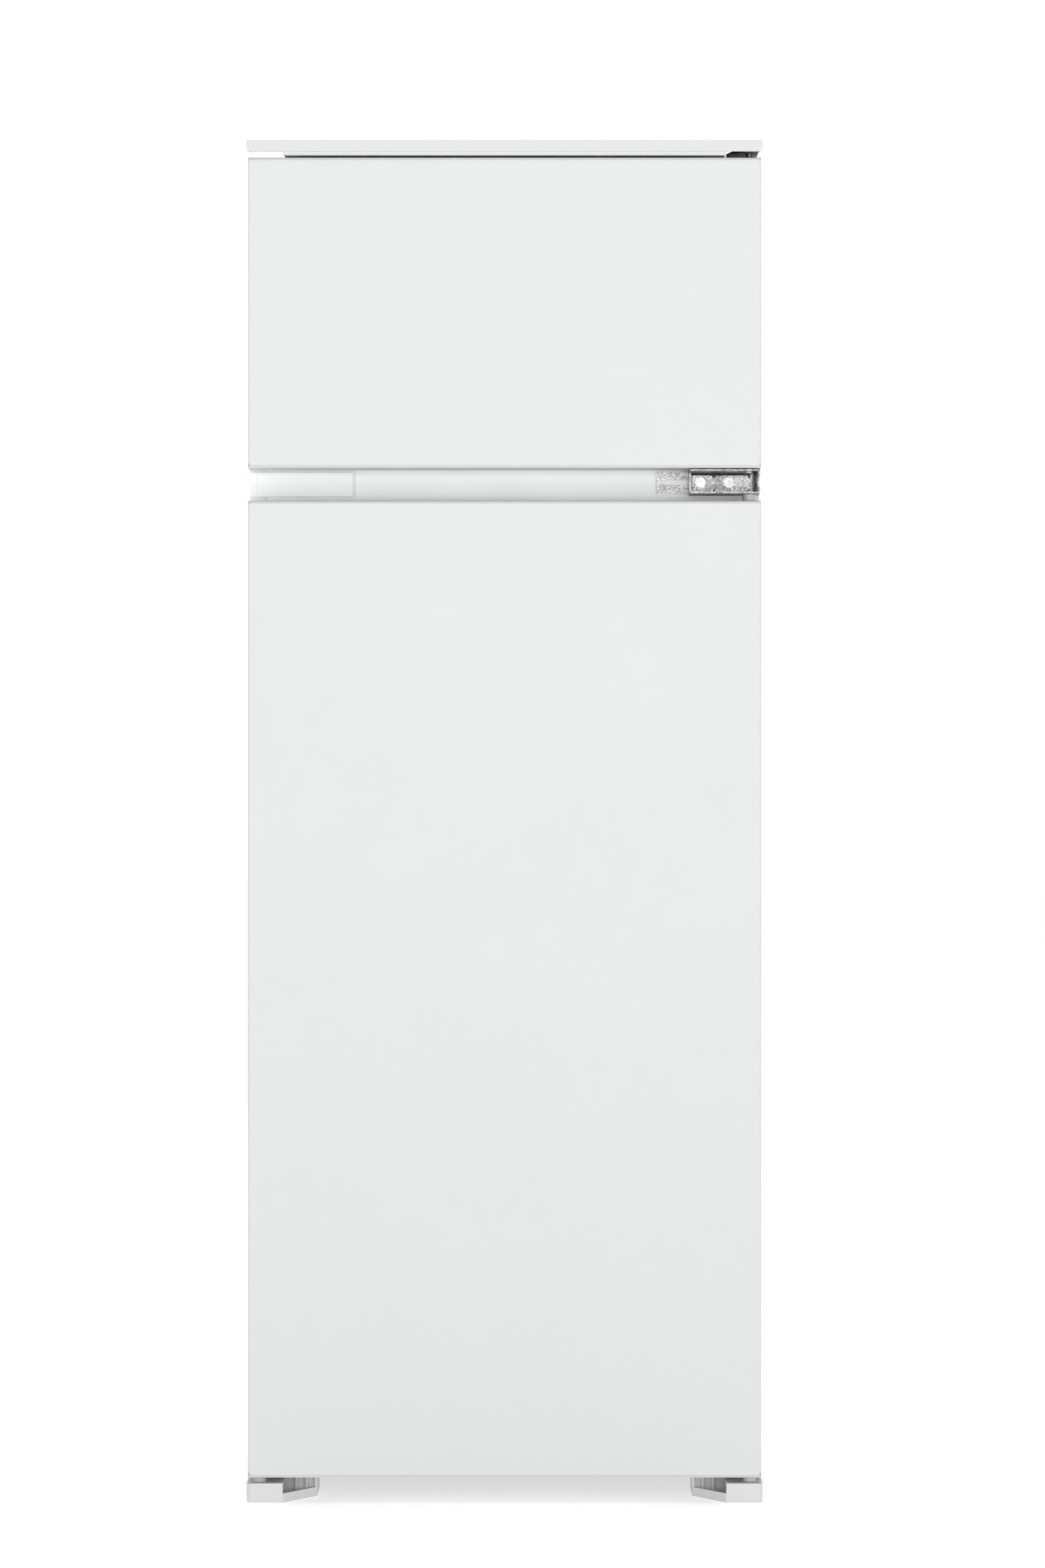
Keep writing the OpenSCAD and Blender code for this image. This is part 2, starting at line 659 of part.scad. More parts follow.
module compressor_plate() color("silver") {
    half = shell - sheet - fit;
    y0 = recess_y + 6;
    y1 = back_y - 4;
    difference() {
        slab(half, y0, y1, plate_z, plate_z + 2);
        for (g = grommets) translate([g[0], g[1], plate_z - eps]) cylinder(r = 3.2, h = 2 + 2 * eps);
    }
    for (y = [y0, y1 - 2]) slab(half, y, y + 2, plate_z, plate_z + 13);
}

// half outline of the can, with its weld flange
module can_profile() intersection() {
    union() {
        r = 34;
        translate([0, can_z0]) round_rect(2 * can_r, can_h, r);
        translate([0, can_z0 + can_h * 0.46]) square([can_r + 3, 4]);
    }
    translate([0, 0]) square([2 * can_r, total_h]);
}

module compressor() color("black") {
    translate([can_x, can_y, 0]) rotate_extrude() can_profile();
    difference() {
        for (y = [-45, 45]) translate([can_x, can_y + y, can_z0])
            cube([2 * can_r + 58, 22, 4], center = true);
        for (g = grommets) translate([g[0], g[1], can_z0 - 10]) cylinder(r = 3.4, h = 20);
    }
    for (y = [-45, 45]) translate([can_x, can_y + y, can_z0 + 12]) cube([60, 8, 24], center = true);
    for (p = [[can_r - 8, 24, 58], [can_r - 8, -14, 40]]) translate([can_x, can_y, 0])
        translate([p[0], p[1], can_z0 + p[2]]) rotate([0, 90, 0]) cylinder(r = 4, h = 24);
}

module compressor_grommets() color("dimgrey") for (g = grommets) translate([g[0], g[1], plate_z + 2])
    difference() {
        cylinder(r = 9, h = can_z0 - 2 - plate_z - 2);
        translate([0, 0, -eps]) cylinder(r = 3.4, h = 30);
    }

module compressor_bolts() color("silver") for (g = grommets) translate([g[0], g[1], 0]) {
    translate([0, 0, plate_z + 0.5]) cylinder(r = 3, h = can_z0 + 2 - plate_z);
    translate([0, 0, can_z0 + 2.02]) cylinder(r = 6, h = 4, $fn = 6);
}

module relay_box() color("dimgrey") difference() {
    x1 = can_x - can_r + 6;
    span([x1 - 40, can_y - 26, can_z0 + 28], [x1, can_y + 26, can_z0 + 88]);
    translate([can_x, can_y, can_z0]) cylinder(r = can_r + 3 + 0.05, h = can_h);
    for (z = [40 : 8 : 76]) translate([x1 - 40, can_y, can_z0 + z]) cube([6, 30, 2], center = true);
}

module drip_tray() color("dimgrey") translate([can_x, can_y, tray_z]) difference() {
    translate([0, tray_d / 2, 0]) along_y(-tray_d, 0) round_rect(tray_w, tray_h, 4);
    translate([0, tray_d / 2 - 2, 2]) along_y(4 - tray_d, 0) round_rect(tray_w - 4, tray_h + 10, 4);
}
module drain_tube() color("grey") translate([drain_x, drain_y, 0]) difference() {
    translate([0, 0, tray_z + 8]) cylinder(r = drain_r, h = step_z - liner_t - fit - tray_z - 8);
    translate([0, 0, tray_z]) cylinder(r = drain_r - 1.5, h = step_z);
}

module bend(side) translate([side * coil_half, coil_y, coil_bend]) rotate([90, 0, 0])
    rotate([0, 0, side > 0 ? -90 : 90]) rotate_extrude(angle = 180) translate([coil_bend, 0]) circle(coil_r);

module condenser_coil() color("black") {
    for (i = [0 : coil_runs - 1]) translate([-coil_half, coil_y, coil_z0 + i * coil_pitch])
        rotate([0, 90, 0]) cylinder(r = coil_r, h = 2 * coil_half);
    for (i = [0 : coil_runs - 2]) translate([0, 0, coil_z0 + i * coil_pitch]) bend(i % 2 ? -1 : 1);
}

// wires lie across the runs on both sides, and leave room for the spacers
function clear_of_spacer(x) = abs(abs(x) - bracket_x) > bracket_w / 2 + wire_r + 1;
module condenser_wires() color("black") for (s = [-1, 1],
    x = [for (k = [0 : floor(coil_half / wire_pitch) - 1], m = [-1, 1])
        if (clear_of_spacer((k + 0.5) * wire_pitch)) m * (k + 0.5) * wire_pitch])
    translate([x, coil_y + s * (coil_r + wire_r + 0.05), coil_z0 - 10])
        cylinder(r = wire_r, h = coil_z1 - coil_z0 + 20, $fn = 16);

module condenser_spacers() color("black")
    for (x = [-bracket_x, bracket_x], z = [coil_z0, coil_z1]) difference() {
        translate([x, 0, z]) span([-bracket_w / 2, back_y, -8], [bracket_w / 2, total_d / 2, 8]);
        translate([x, coil_y, z]) rotate([0, 90, 0])
            cylinder(r = coil_r + 0.1, h = bracket_w + 2 * eps, center = true);
    }

module filter_drier() color("peru") translate([drier_x, drier_y, drier_z - 110]) {
    rotate_extrude() intersection() {
        translate([0, 0]) round_rect(18, 110, 5);
        square([20, 110]);
    }
    translate([0, 0, -8]) cylinder(r = 1.8, h = 10);
    translate([0, 0, 108]) cylinder(r = 3, h = 10);
}

// discharge line to the coil's top, liquid line from its foot to the drier, suction line and capillary
module refrigerant_pipes() color("peru") {
    suction_z = can_z0 + 58;
    discharge_z = can_z0 + 40;
    end_x = can_x + can_r + 16.2;
    side_x = half_w - 26;
    sweep(rounded([[end_x, can_y - 14, discharge_z], [side_x, can_y - 14, discharge_z],
        [side_x, back_y - 30, discharge_z], [side_x, back_y - 30, recess_z - 30],
        [side_x, coil_y, recess_z - 30], [side_x, coil_y, coil_z1],
        [coil_half + 0.2, coil_y, coil_z1]], 10), 2.4);
    sweep(rounded([[-coil_half - 0.2, coil_y, coil_z0], [-side_x, coil_y, coil_z0],
        [-side_x, coil_y, recess_z - 30], [-side_x, drier_y, recess_z - 30],
        [drier_x, drier_y, recess_z - 30], [drier_x, drier_y, drier_z + 8.2]], 9), 2.4);
    sweep(rounded([[end_x, can_y + 24, suction_z], [end_x + 26, can_y + 24, suction_z],
        [end_x + 26, can_y + 24, recess_z - 0.2]], 10), 3);
    sweep(rounded([[drier_x, drier_y, drier_z - 118.2], [drier_x, drier_y, drier_z - 128],
        [drier_x + 30, drier_y, drier_z - 128], [drier_x + 30, drier_y, recess_z - 0.2]], 6), 1.2, 6);
}

module cord_gland() color("dimgrey") {
    x = -half_w + 120;
    z = plate_z + 24;
    difference() {
        span([x - 12, back_y - 22, plate_z + 2], [x + 12, back_y - 6.2, z + 12]);
        translate([x, back_y, z]) rotate([90, 0, 0]) cylinder(r = 4.5, h = 40);
    }
    translate([x, back_y - 6.2, z]) rotate([-90, 0, 0]) difference() {
        cylinder(r = 8, h = 8);
        translate([0, 0, -eps]) cylinder(r = 4.5, h = 20);
    }
}

// roll-bonded sheets: one behind the fridge liner, one wrapped over the freezer liner
module evaporators() color("silver") {
    g = liner_t + fit;
    y0 = fridge_back + g;
    slab(fridge_half - 40, y0, y0 + evap_t, step_z + 120, fridge_z1 - 60);
    difference() {
        slab(freezer_half + g + evap_t, frame_y + 60, freezer_back - 40,
            freezer_z0 + 30, freezer_z1 + g + evap_t);
        slab(freezer_half + g, frame_y, freezer_back, freezer_z0, freezer_z1 + g);
    }
}

// ---------- interior ----------

module pane(z, y1) slab(fridge_half - shelf_side, shelf_y0, y1, z, z + glass_t);

module shelf_glass() color("lightblue") {
    for (z = shelf_z) pane(z, shelf_y1);
    pane(step_z, cover_y1);
}

module front_trim(z, y1) difference() {
    slab(fridge_half - shelf_side, shelf_y0 - trim_front, shelf_y0 + trim_front, z - 5, z + glass_t + 5);
    pane(z, y1);
}

module shelf_trims() color("white") {
    for (z = shelf_z) {
        front_trim(z, shelf_y1);
        difference() {
            slab(fridge_half - shelf_side, shelf_y1 - 10, shelf_y1 + 2, z - 4, z + 20);
            pane(z, shelf_y1);
        }
    }
    front_trim(step_z, cover_y1);
}

module freezer_shelf() color("white") {
    half = freezer_half - 2;
    y0 = freezer_rack_y1 + 17;
    y1 = freezer_back - 8;
    rod = 2;
    z = freezer_shelf_z + rod + 0.02;
    n = floor(2 * half / 24);
    for (y = [y0, (y0 + y1) / 2, y1]) translate([-half, y, z]) rotate([0, 90, 0])
        cylinder(r = rod, h = 2 * half);
    for (i = [0 : n]) translate([(i / n - 0.5) * 2 * (half - 6), y0, z + rod + 0.9]) rotate([-90, 0, 0])
        cylinder(r = 1.3, h = y1 - y0, $fn = 24);
}

module control_housing() color("white") difference() {
    slab(box_half, box_y0, box_y1, box_z0, fridge_z1);
    slab(box_half - 2, box_y0 + 2, box_y1 - 2, box_z0 + 2, fridge_z1 - 2);
    span([lens_x0, box_y0 + 12, box_z0 - eps], [lens_x1, box_y1 - 12, box_z0 + 3]);
    translate([knob_x, box_y0 - eps, knob_z]) rotate([-90, 0, 0]) cylinder(r = spindle_r + 0.1, h = 5);
    for (i = [-4 : 4]) translate([knob_x + i * 7, box_y1, box_z0 + 18]) cube([3, 8, 20], center = true);
}

module thermostat_knob() color("white") {
    translate([knob_x, box_y0 - 0.4, knob_z]) rotate([90, 0, 0]) difference() {
        union() {
            cylinder(r = knob_r, h = 3);
            cylinder(r = knob_r - 2, h = 12);
        }
        translate([-0.8, knob_r - 7, 10.5]) cube([1.6, 8, 2]);
        for (a = [0 : 30 : 330]) rotate([0, 0, a + 15]) translate([knob_r - 1.2, 0, 3])
            cylinder(r = 1.2, h = 20, $fn = 16);
    }
    translate([knob_x, box_y0 - 1, knob_z]) rotate([-90, 0, 0]) cylinder(r = spindle_r, h = 12);
}

module lamp_lens() color("aliceblue") {
    y0 = box_y0 + 12 + fit;
    y1 = box_y1 - 12 - fit;
    x0 = lens_x0 + fit;
    x1 = lens_x1 - fit;
    difference() {
        union() {
            span([x0, y0, box_z0 - 6], [x1, y1, box_z0 + 3]);
            span([x0 - 3, y0 - 3, box_z0 + 2], [x1 + 3, y1 + 3, box_z0 + 3.5]);
        }
        span([x0 + 2, y0 + 2, box_z0 - 4], [x1 - 2, y1 - 2, box_z0 + 4]);
    }
}

// bulb lying along x, with its holder
module lamp_bulb() color("ivory")
translate([lens_x0 + 16, (box_y0 + box_y1) / 2, box_z0 + 16]) rotate([0, 90, 0]) {
    translate([-box_h / 2, -8, 2]) cube([box_h / 2, 16, 14]);
    cylinder(r = 10, h = 18);
    cylinder(r = 6.5, h = 26);
    translate([0, 0, 26]) rotate_extrude() intersection() {
        translate([0, -6]) round_rect(22, 46, 10.5);
        translate([0, -2]) square([20, 60]);
    }
}

module switch_housing() color("white") difference() {
    span([switch_x, switch_y0, fridge_z1 - switch_h],
        [switch_x + switch_w, switch_y0 + 46, fridge_z1 - 0.02]);
    span([switch_x + (switch_w - plunger_w) / 2 - 0.2, switch_y0 - eps, plunger_z - plunger_h / 2 - 0.2],
        [switch_x + (switch_w + plunger_w) / 2 + 0.2, switch_y0 + 24, plunger_z + plunger_h / 2 + 0.2]);
}

module switch_plunger() color("white")
    span([switch_x + (switch_w - plunger_w) / 2, plug_y + 0.5, plunger_z - plunger_h / 2],
        [switch_x + (switch_w + plunger_w) / 2, switch_y0 + 18, plunger_z + plunger_h / 2]);

module crisper() {
    w = crisper_x1 - crisper_x0;
    mid = (crisper_x0 + crisper_x1) / 2;
    h = crisper_z1 - crisper_z0;
    difference() {
        union() {
            along_y(crisper_y0, crisper_y1) translate([mid, crisper_z0]) round_rect(w, h, 14);
            span([crisper_x0, crisper_y0, crisper_z1 - 14], [crisper_x1, crisper_y1, crisper_z1]);
            span([crisper_x0, crisper_y0 - grip_d, crisper_z1 - 22],
                [crisper_x1, crisper_y0 + 1, crisper_z1]);
        }
        along_y(crisper_y0 + crisper_t, crisper_y1 - crisper_t) translate([mid, crisper_z0 + crisper_t])
            round_rect(w - 2 * crisper_t, h + 40, 14 - crisper_t);
        span([crisper_x0 - eps, crisper_y0 - grip_d + 2.5, crisper_z1 - 22 - eps],
            [crisper_x1 + eps, crisper_y0, crisper_z1 - 2.5]);
    }
}

module right_crisper() color("lightcyan") crisper();
module left_crisper() color("lightcyan") mirror([1, 0, 0]) crisper();

// ---------- doors ----------

// a door's outer block, shrunk by g: rounded at the front's side edges
module door_block(z0, z1, g, y1) translate([0, 0, z0]) linear_extrude(z1 - z0) {
    h = door_half - g;
    r = face_r - g;
    y0 = front_y + g;
    translate([r - h, y0]) square([2 * (h - r), y1 - y0]);
    translate([-h, y0 + r]) square([2 * h, y1 - y0 - r]);
    for (s = [-1, 1]) translate([s * (h - r), y0 + r]) circle(r);
}

// folded steel: face, sides, and a short return at each end under the caps
module door_skin(z0, z1) difference() {
    door_block(z0 + cap_edge, z1 - cap_edge, 0, door_back);
    door_block(z0, z1, sheet, door_back + eps);
    for (s = [-1, 1]) translate([s * door_half, 0, z0 + cap_edge]) along_y(front_y - eps, front_y + 6)
        polygon([[-2.4, -eps], [2.4, -eps], [0.2, 6], [-0.2, 6]]);
}

// end cap at z0 facing down, or at z1 facing up
module door_cap(door, up, collar = 0) {
    z0 = door[0];
    z1 = door[1];
    z = up ? z1 : z0;
    along = up ? -1 : 1;
    difference() {
        union() {
            intersection() {
                door_block(min(z, z + along * cap_edge), max(z, z + along * cap_edge), 0, door_back);
                along_x(-half_w, half_w) translate([front_y, z]) mirror([0, up ? 1 : 0]) cap_side();
            }
            ends = [z + along * cap_edge, z + along * (cap_edge + cap_deep)];
            door_block(min(ends), max(ends), sheet + fit, door_back - liner_t - fit);
            translate([pivot_x, pivot_y, up ? z - bush_l - 2 : z + 1])
                cylinder(r = cap_boss_r, h = bush_l + 1);
            if (collar > 0) translate([pivot_x, pivot_y, z - 1]) cylinder(r = bush_r, h = collar + 1);
        }
        translate([pivot_x, pivot_y, z - bush_l - eps]) cylinder(r = pin_r + pin_fit, h = 2 * (bush_l + eps));
        if (up) translate([-pivot_x, pivot_y, z - 8]) cylinder(r = 3, h = 20);
    }
}

// side outline of a cap's edge, rounded at the front
module cap_side() {
    r = 2;
    translate([r, 0]) square([door_t, cap_edge]);
    translate([0, r]) square([r, cap_edge - r]);
    translate([r, r]) circle(r);
}

module door_bump(half, z0, z1, g) {
    slab(half - g, door_back - liner_t - eps, plug_y - g, z0 + g, z1 - g);
    for (s = [-1, 1]) translate([s * (half - dyke_w / 2), 0, 0])
        slab(dyke_w / 2 - g, door_back - liner_t - eps, dyke_y - g, z0 + g, z1 - g);
}

// moulded inner liner with a plug, two dykes and the lugs that hold the racks
module door_liner(half, plug, door, lugs) {
    inner = door_half - sheet - fit;
    difference() {
        union() {
            slab(inner, door_back - liner_t, door_back, door[0] + cap_edge, door[1] - cap_edge);
            intersection() {
                door_bump(half, plug[0], plug[1], 0);
                slab(half_w, door_back - liner_t, back_y, 0, total_h);
            }
        }
        door_bump(half, plug[0], plug[1], liner_t);
    }
    for (z = lugs) both_sides() translate([half - dyke_w, frame_y + 22, z])
        span([-lug[0], -lug[1] / 2, -lug[2] / 2], [liner_t / 2, lug[1] / 2, lug[2] / 2]);
}

module door_foam(half, plug, door) difference() {
    union() {
        door_block(door[0] + cap_edge, door[1] - cap_edge, sheet, door_back - liner_t);
        intersection() {
            door_bump(half, plug[0], plug[1], liner_t + fit);
            slab(half_w, door_back - liner_t - 0.5, back_y, 0, total_h);
        }
    }
    for (up = [0, 1]) {
        z = up ? door[1] - cap_edge - cap_deep - fit : door[0];
        slab(half_w, front_y, door_back, z, z + cap_edge + cap_deep + fit);
        translate([pivot_x, pivot_y, up ? door[1] - bush_l - 3 : door[0]])
            cylinder(r = cap_boss_r + fit, h = bush_l + 3);
    }
}

// three-step seal profile: foot, bellows and magnet strip
module door_seal(door) for (s = [[0, 2.2, 0], [2.2, 6.4, 1.6], [6.4, seal_t - 0.4, 0]]) {
    outer = door_half - seal_in - s[2];
    inner = door_half - seal_in - seal_w + s[2];
    z0 = door[0] + seal_in_z;
    z1 = door[1] - seal_in_z;
    difference() {
        slab(outer, door_back + s[0], door_back + s[1], z0 + s[2], z1 - s[2]);
        slab(inner, door_back + s[0] - eps, door_back + s[1] + eps, z0 + seal_w - s[2], z1 - seal_w + s[2]);
    }
}

// rack tray that hangs on the lugs of the liner's dykes
module rack(half, y1, z, h) difference() {
    union() {
        translate([0, 0, z]) linear_extrude(h) rack_plan(half, y1, 0);
        translate([0, 0, z + h - 6]) linear_extrude(6) rack_plan(half, y1 + 2, 0);
    }
    translate([0, 0, z + rack_t]) linear_extrude(h) rack_plan(half, y1, rack_t);
    for (s = [-1, 1]) translate([s * half, frame_y + 22, z + h / 2 - 9])
        cube([2 * (lug[0] + 0.5), lug[1] + 1, h - 6], center = true);
}

module rack_plan(half, y1, g) {
    r = 16 - g;
    h = half - g;
    translate([-h, rack_y0 + g]) square([2 * h, y1 - rack_y0 - r - 2 * g]);
    translate([r - h, rack_y0 + g]) square([2 * (h - r), y1 - rack_y0 - 2 * g]);
    for (s = [-1, 1]) translate([s * (h - r), y1 - g - r]) circle(r);
}

freezer_door = [freezer_door_z0, freezer_door_z1];
fridge_door = [fridge_door_z0, fridge_door_z1];
freezer_plug = [freezer_plug_z0, freezer_plug_z1];
fridge_plug = [plug_z0, plug_z1];
freezer_racks = [for (i = [0, 1]) [freezer_plug_z0 + 10 + i * (freezer_plug_z1 - freezer_plug_z0) / 2, 62]];
fridge_racks = [for (i = [0 : 3]) [plug_z0 + 10 + i * rack_step, i == 0 ? 110 : 72]];
function lug_z(racks) = [for (r = racks) r[0] + r[1] - 18];

module freezer_door_skin() color("white") door_skin(freezer_door[0], freezer_door[1]);
module fridge_door_skin() color("white") door_skin(fridge_door[0], fridge_door[1]);
module freezer_door_caps() color("white") for (up = [false, true]) door_cap(freezer_door, up);
module fridge_door_caps() color("white")
    for (up = [false, true]) door_cap(fridge_door, up, up ? collar_z - 0.4 : 0);
module freezer_door_foam() color("khaki") door_foam(freezer_half - 8, freezer_plug, freezer_door);
module fridge_door_foam() color("khaki") door_foam(fridge_half - 8, fridge_plug, fridge_door);
module freezer_door_liner() color("white")
    door_liner(freezer_half - 8, freezer_plug, freezer_door, lug_z(freezer_racks));
module fridge_door_liner() color("white")
    door_liner(fridge_half - 8, fridge_plug, fridge_door, lug_z(fridge_racks));
module freezer_door_seal() color("whitesmoke") door_seal(freezer_door);
module fridge_door_seal() color("whitesmoke") door_seal(fridge_door);
module freezer_door_racks() color("white")
    for (r = freezer_racks) rack(freezer_rack_half, freezer_rack_y1, r[0], r[1]);
module fridge_door_racks() color("white") for (r = fridge_racks) rack(rack_half, rack_y1, r[0], r[1]);

left_side_panel();
right_side_panel();
top_panel();
bottom_panel();
back_panel();
cabinet_foam();
fridge_liner();
freezer_liner();
crossbar_cover();
crossbar_rail();
top_trim();
trim_rail();
hinge_hole_cover();
middle_hinge_arm();
middle_hinge_plate();
middle_hinge_pin();
top_hinge();
hinge_screws();
left_foot();
right_foot();
lower_hinge_pin();
foot_screws();
rear_skids();
compressor();
compressor_plate();
compressor_grommets();
compressor_bolts();
relay_box();
drip_tray();
drain_tube();
condenser_coil();
condenser_wires();
condenser_spacers();
filter_drier();
refrigerant_pipes();
cord_gland();
evaporators();
shelf_glass();
shelf_trims();
freezer_shelf();
control_housing();
thermostat_knob();
lamp_lens();
lamp_bulb();
switch_housing();
switch_plunger();
left_crisper();
right_crisper();
freezer_door_skin();
freezer_door_caps();
freezer_door_foam();
freezer_door_liner();
freezer_door_seal();
freezer_door_racks();
fridge_door_skin();
fridge_door_caps();
fridge_door_foam();
fridge_door_liner();
fridge_door_seal();
fridge_door_racks();
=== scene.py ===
import json
import math
import bpy
import bmesh
from mathutils import Vector, Matrix


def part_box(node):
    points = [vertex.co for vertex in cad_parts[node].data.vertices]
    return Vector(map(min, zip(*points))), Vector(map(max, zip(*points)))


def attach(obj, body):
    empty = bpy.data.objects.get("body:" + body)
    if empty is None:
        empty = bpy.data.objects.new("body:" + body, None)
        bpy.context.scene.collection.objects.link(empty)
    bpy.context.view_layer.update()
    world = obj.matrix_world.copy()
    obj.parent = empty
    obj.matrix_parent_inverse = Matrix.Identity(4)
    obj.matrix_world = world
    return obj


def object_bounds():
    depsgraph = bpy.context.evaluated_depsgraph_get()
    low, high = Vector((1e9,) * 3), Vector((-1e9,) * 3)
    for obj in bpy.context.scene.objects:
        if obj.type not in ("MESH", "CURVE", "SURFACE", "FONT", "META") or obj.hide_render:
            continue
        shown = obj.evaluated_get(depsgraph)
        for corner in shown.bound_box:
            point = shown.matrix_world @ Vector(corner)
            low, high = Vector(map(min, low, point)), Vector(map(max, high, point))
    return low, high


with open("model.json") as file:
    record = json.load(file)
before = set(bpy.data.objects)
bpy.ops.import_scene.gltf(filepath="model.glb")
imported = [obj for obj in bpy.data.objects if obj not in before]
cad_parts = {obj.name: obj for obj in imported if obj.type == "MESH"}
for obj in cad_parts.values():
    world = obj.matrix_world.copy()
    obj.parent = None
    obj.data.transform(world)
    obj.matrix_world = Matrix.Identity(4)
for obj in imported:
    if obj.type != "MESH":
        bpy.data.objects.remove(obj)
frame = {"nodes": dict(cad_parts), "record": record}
cad_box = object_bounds()
N = frame["nodes"]
col = bpy.context.scene.collection
MM = 0.001
WHITE = (1, 1, 1, 1)


# ---------------------------------------------------------------- node helpers
def new_mat(name):
    """A material, its node tree and its shader."""
    m = bpy.data.materials.new(name)
    m.use_nodes = True
    nt = m.node_tree
    nt.nodes.clear()
    out = nt.nodes.new("ShaderNodeOutputMaterial")
    b = nt.nodes.new("ShaderNodeBsdfPrincipled")
    nt.links.new(b.outputs[0], out.inputs[0])
    return m, nt, b


def coords(nt, scale=(1, 1, 1)):
    """The object's own coordinates in metres, stretched by scale."""
    tc = nt.nodes.new("ShaderNodeTexCoord")
    mp = nt.nodes.new("ShaderNodeMapping")
    mp.inputs["Scale"].default_value = scale
    nt.links.new(tc.outputs["Object"], mp.inputs[0])
    return mp.outputs[0]


def noise(nt, vec, scale, detail=3.0, rough=0.5, distort=0.0):
    n = nt.nodes.new("ShaderNodeTexNoise")
    n.inputs["Scale"].default_value = scale
    n.inputs["Detail"].default_value = detail
    n.inputs["Roughness"].default_value = rough
    n.inputs["Distortion"].default_value = distort
    nt.links.new(vec, n.inputs["Vector"])
    return n.outputs["Fac"]


def voronoi(nt, vec, scale, out="Color"):
    n = nt.nodes.new("ShaderNodeTexVoronoi")
    n.inputs["Scale"].default_value = scale
    nt.links.new(vec, n.inputs["Vector"])
    return n.outputs[out]


def ramp(nt, fac, stops):
    """A colour ramp through (position, colour) stops."""
    r = nt.nodes.new("ShaderNodeValToRGB")
    e = r.color_ramp.elements
    while len(e) < len(stops):
        e.new(0.5)
    for k, (p, c) in zip(e, stops):
        k.position = p
        k.color = (*c, 1)
    nt.links.new(fac, r.inputs[0])
    return r.outputs[0]


def spread(nt, fac, lo, hi, a=0.3, b=0.7):
    """fac from a to b, spread over lo to hi."""
    m = nt.nodes.new("ShaderNodeMapRange")
    m.inputs["From Min"].default_value = a
    m.inputs["From Max"].default_value = b
    m.inputs["To Min"].default_value = lo
    m.inputs["To Max"].default_value = hi
    nt.links.new(fac, m.inputs["Value"])
    return m.outputs[0]


def mix(nt, fac, a, b):
    """Colour a where fac is 0 and b where it is 1; each is a colour or a socket."""
    m = nt.nodes.new("ShaderNodeMix")
    m.data_type = "RGBA"
    nt.links.new(fac, m.inputs[0])
    for sock, v in ((m.inputs[6], a), (m.inputs[7], b)):
        if isinstance(v, tuple):
            sock.default_value = (*v, 1)
        else:
            nt.links.new(v, sock)
    return m.outputs[2]


def bump(nt, b, height, strength, dist, prev=None):
    """Relief dist metres deep on shader b, on top of an earlier bump if one is given."""
    n = nt.nodes.new("ShaderNodeBump")
    n.inputs["Strength"].default_value = strength
    n.inputs["Distance"].default_value = dist
    nt.links.new(height, n.inputs["Height"])
    if prev is not None:
        nt.links.new(prev, n.inputs["Normal"])
    nt.links.new(n.outputs[0], b.inputs["Normal"])
    return n.outputs[0]


def times(k, c):
    """Colour c made k times as bright."""
    return tuple(k * v for v in c)


# ---------------------------------------------------------------- materials
def lacquer(name, c, vary=0.012, rough=(0.30, 0.38), peel=0.12, scale=420, spec=0.45):
    """Coated or moulded white: faint shade drift, orange-peel bump, uneven gloss."""
    m, nt, b = new_mat(name)
    v = coords(nt)
    drift = noise(nt, v, 2.2, 2)
    fine = noise(nt, v, 60, 4)
    base = mix(nt, drift, times(1 - vary, c), c)
    nt.links.new(mix(nt, spread(nt, fine, 0, 0.5), base, times(1 - 1.6 * vary, c)), b.inputs["Base Color"])
    nt.links.new(spread(nt, noise(nt, v, 9, 3), *rough), b.inputs["Roughness"])
    n1 = bump(nt, b, noise(nt, v, scale, 2), peel, 0.0004)
    bump(nt, b, noise(nt, v, 14, 2), peel * 0.3, 0.002, n1)
    b.inputs["Specular IOR Level"].default_value = spec
    return m


def moulded(name, c, rough=(0.38, 0.5), grain=900, depth=0.25, vary=0.02):
    """Moulded plastic with a fine spark-eroded grain and faint flow marks."""
    m, nt, b = new_mat(name)
    v = coords(nt)
    flow = noise(nt, v, 7, 3, 0.6, 0.6)
    base = mix(nt, flow, c, times(1 - vary, c))
    speck = spread(nt, voronoi(nt, v, grain * 0.5, out="Distance"), 0.3, 0, 0.1, 0.5)
    nt.links.new(mix(nt, speck, base, times(1 - 1.5 * vary, c)), b.inputs["Base Color"])
    nt.links.new(spread(nt, noise(nt, v, 30, 4), *rough), b.inputs["Roughness"])
    bump(nt, b, noise(nt, v, grain, 2), depth, 0.0002)
    b.inputs["Specular IOR Level"].default_value = 0.5
    return m


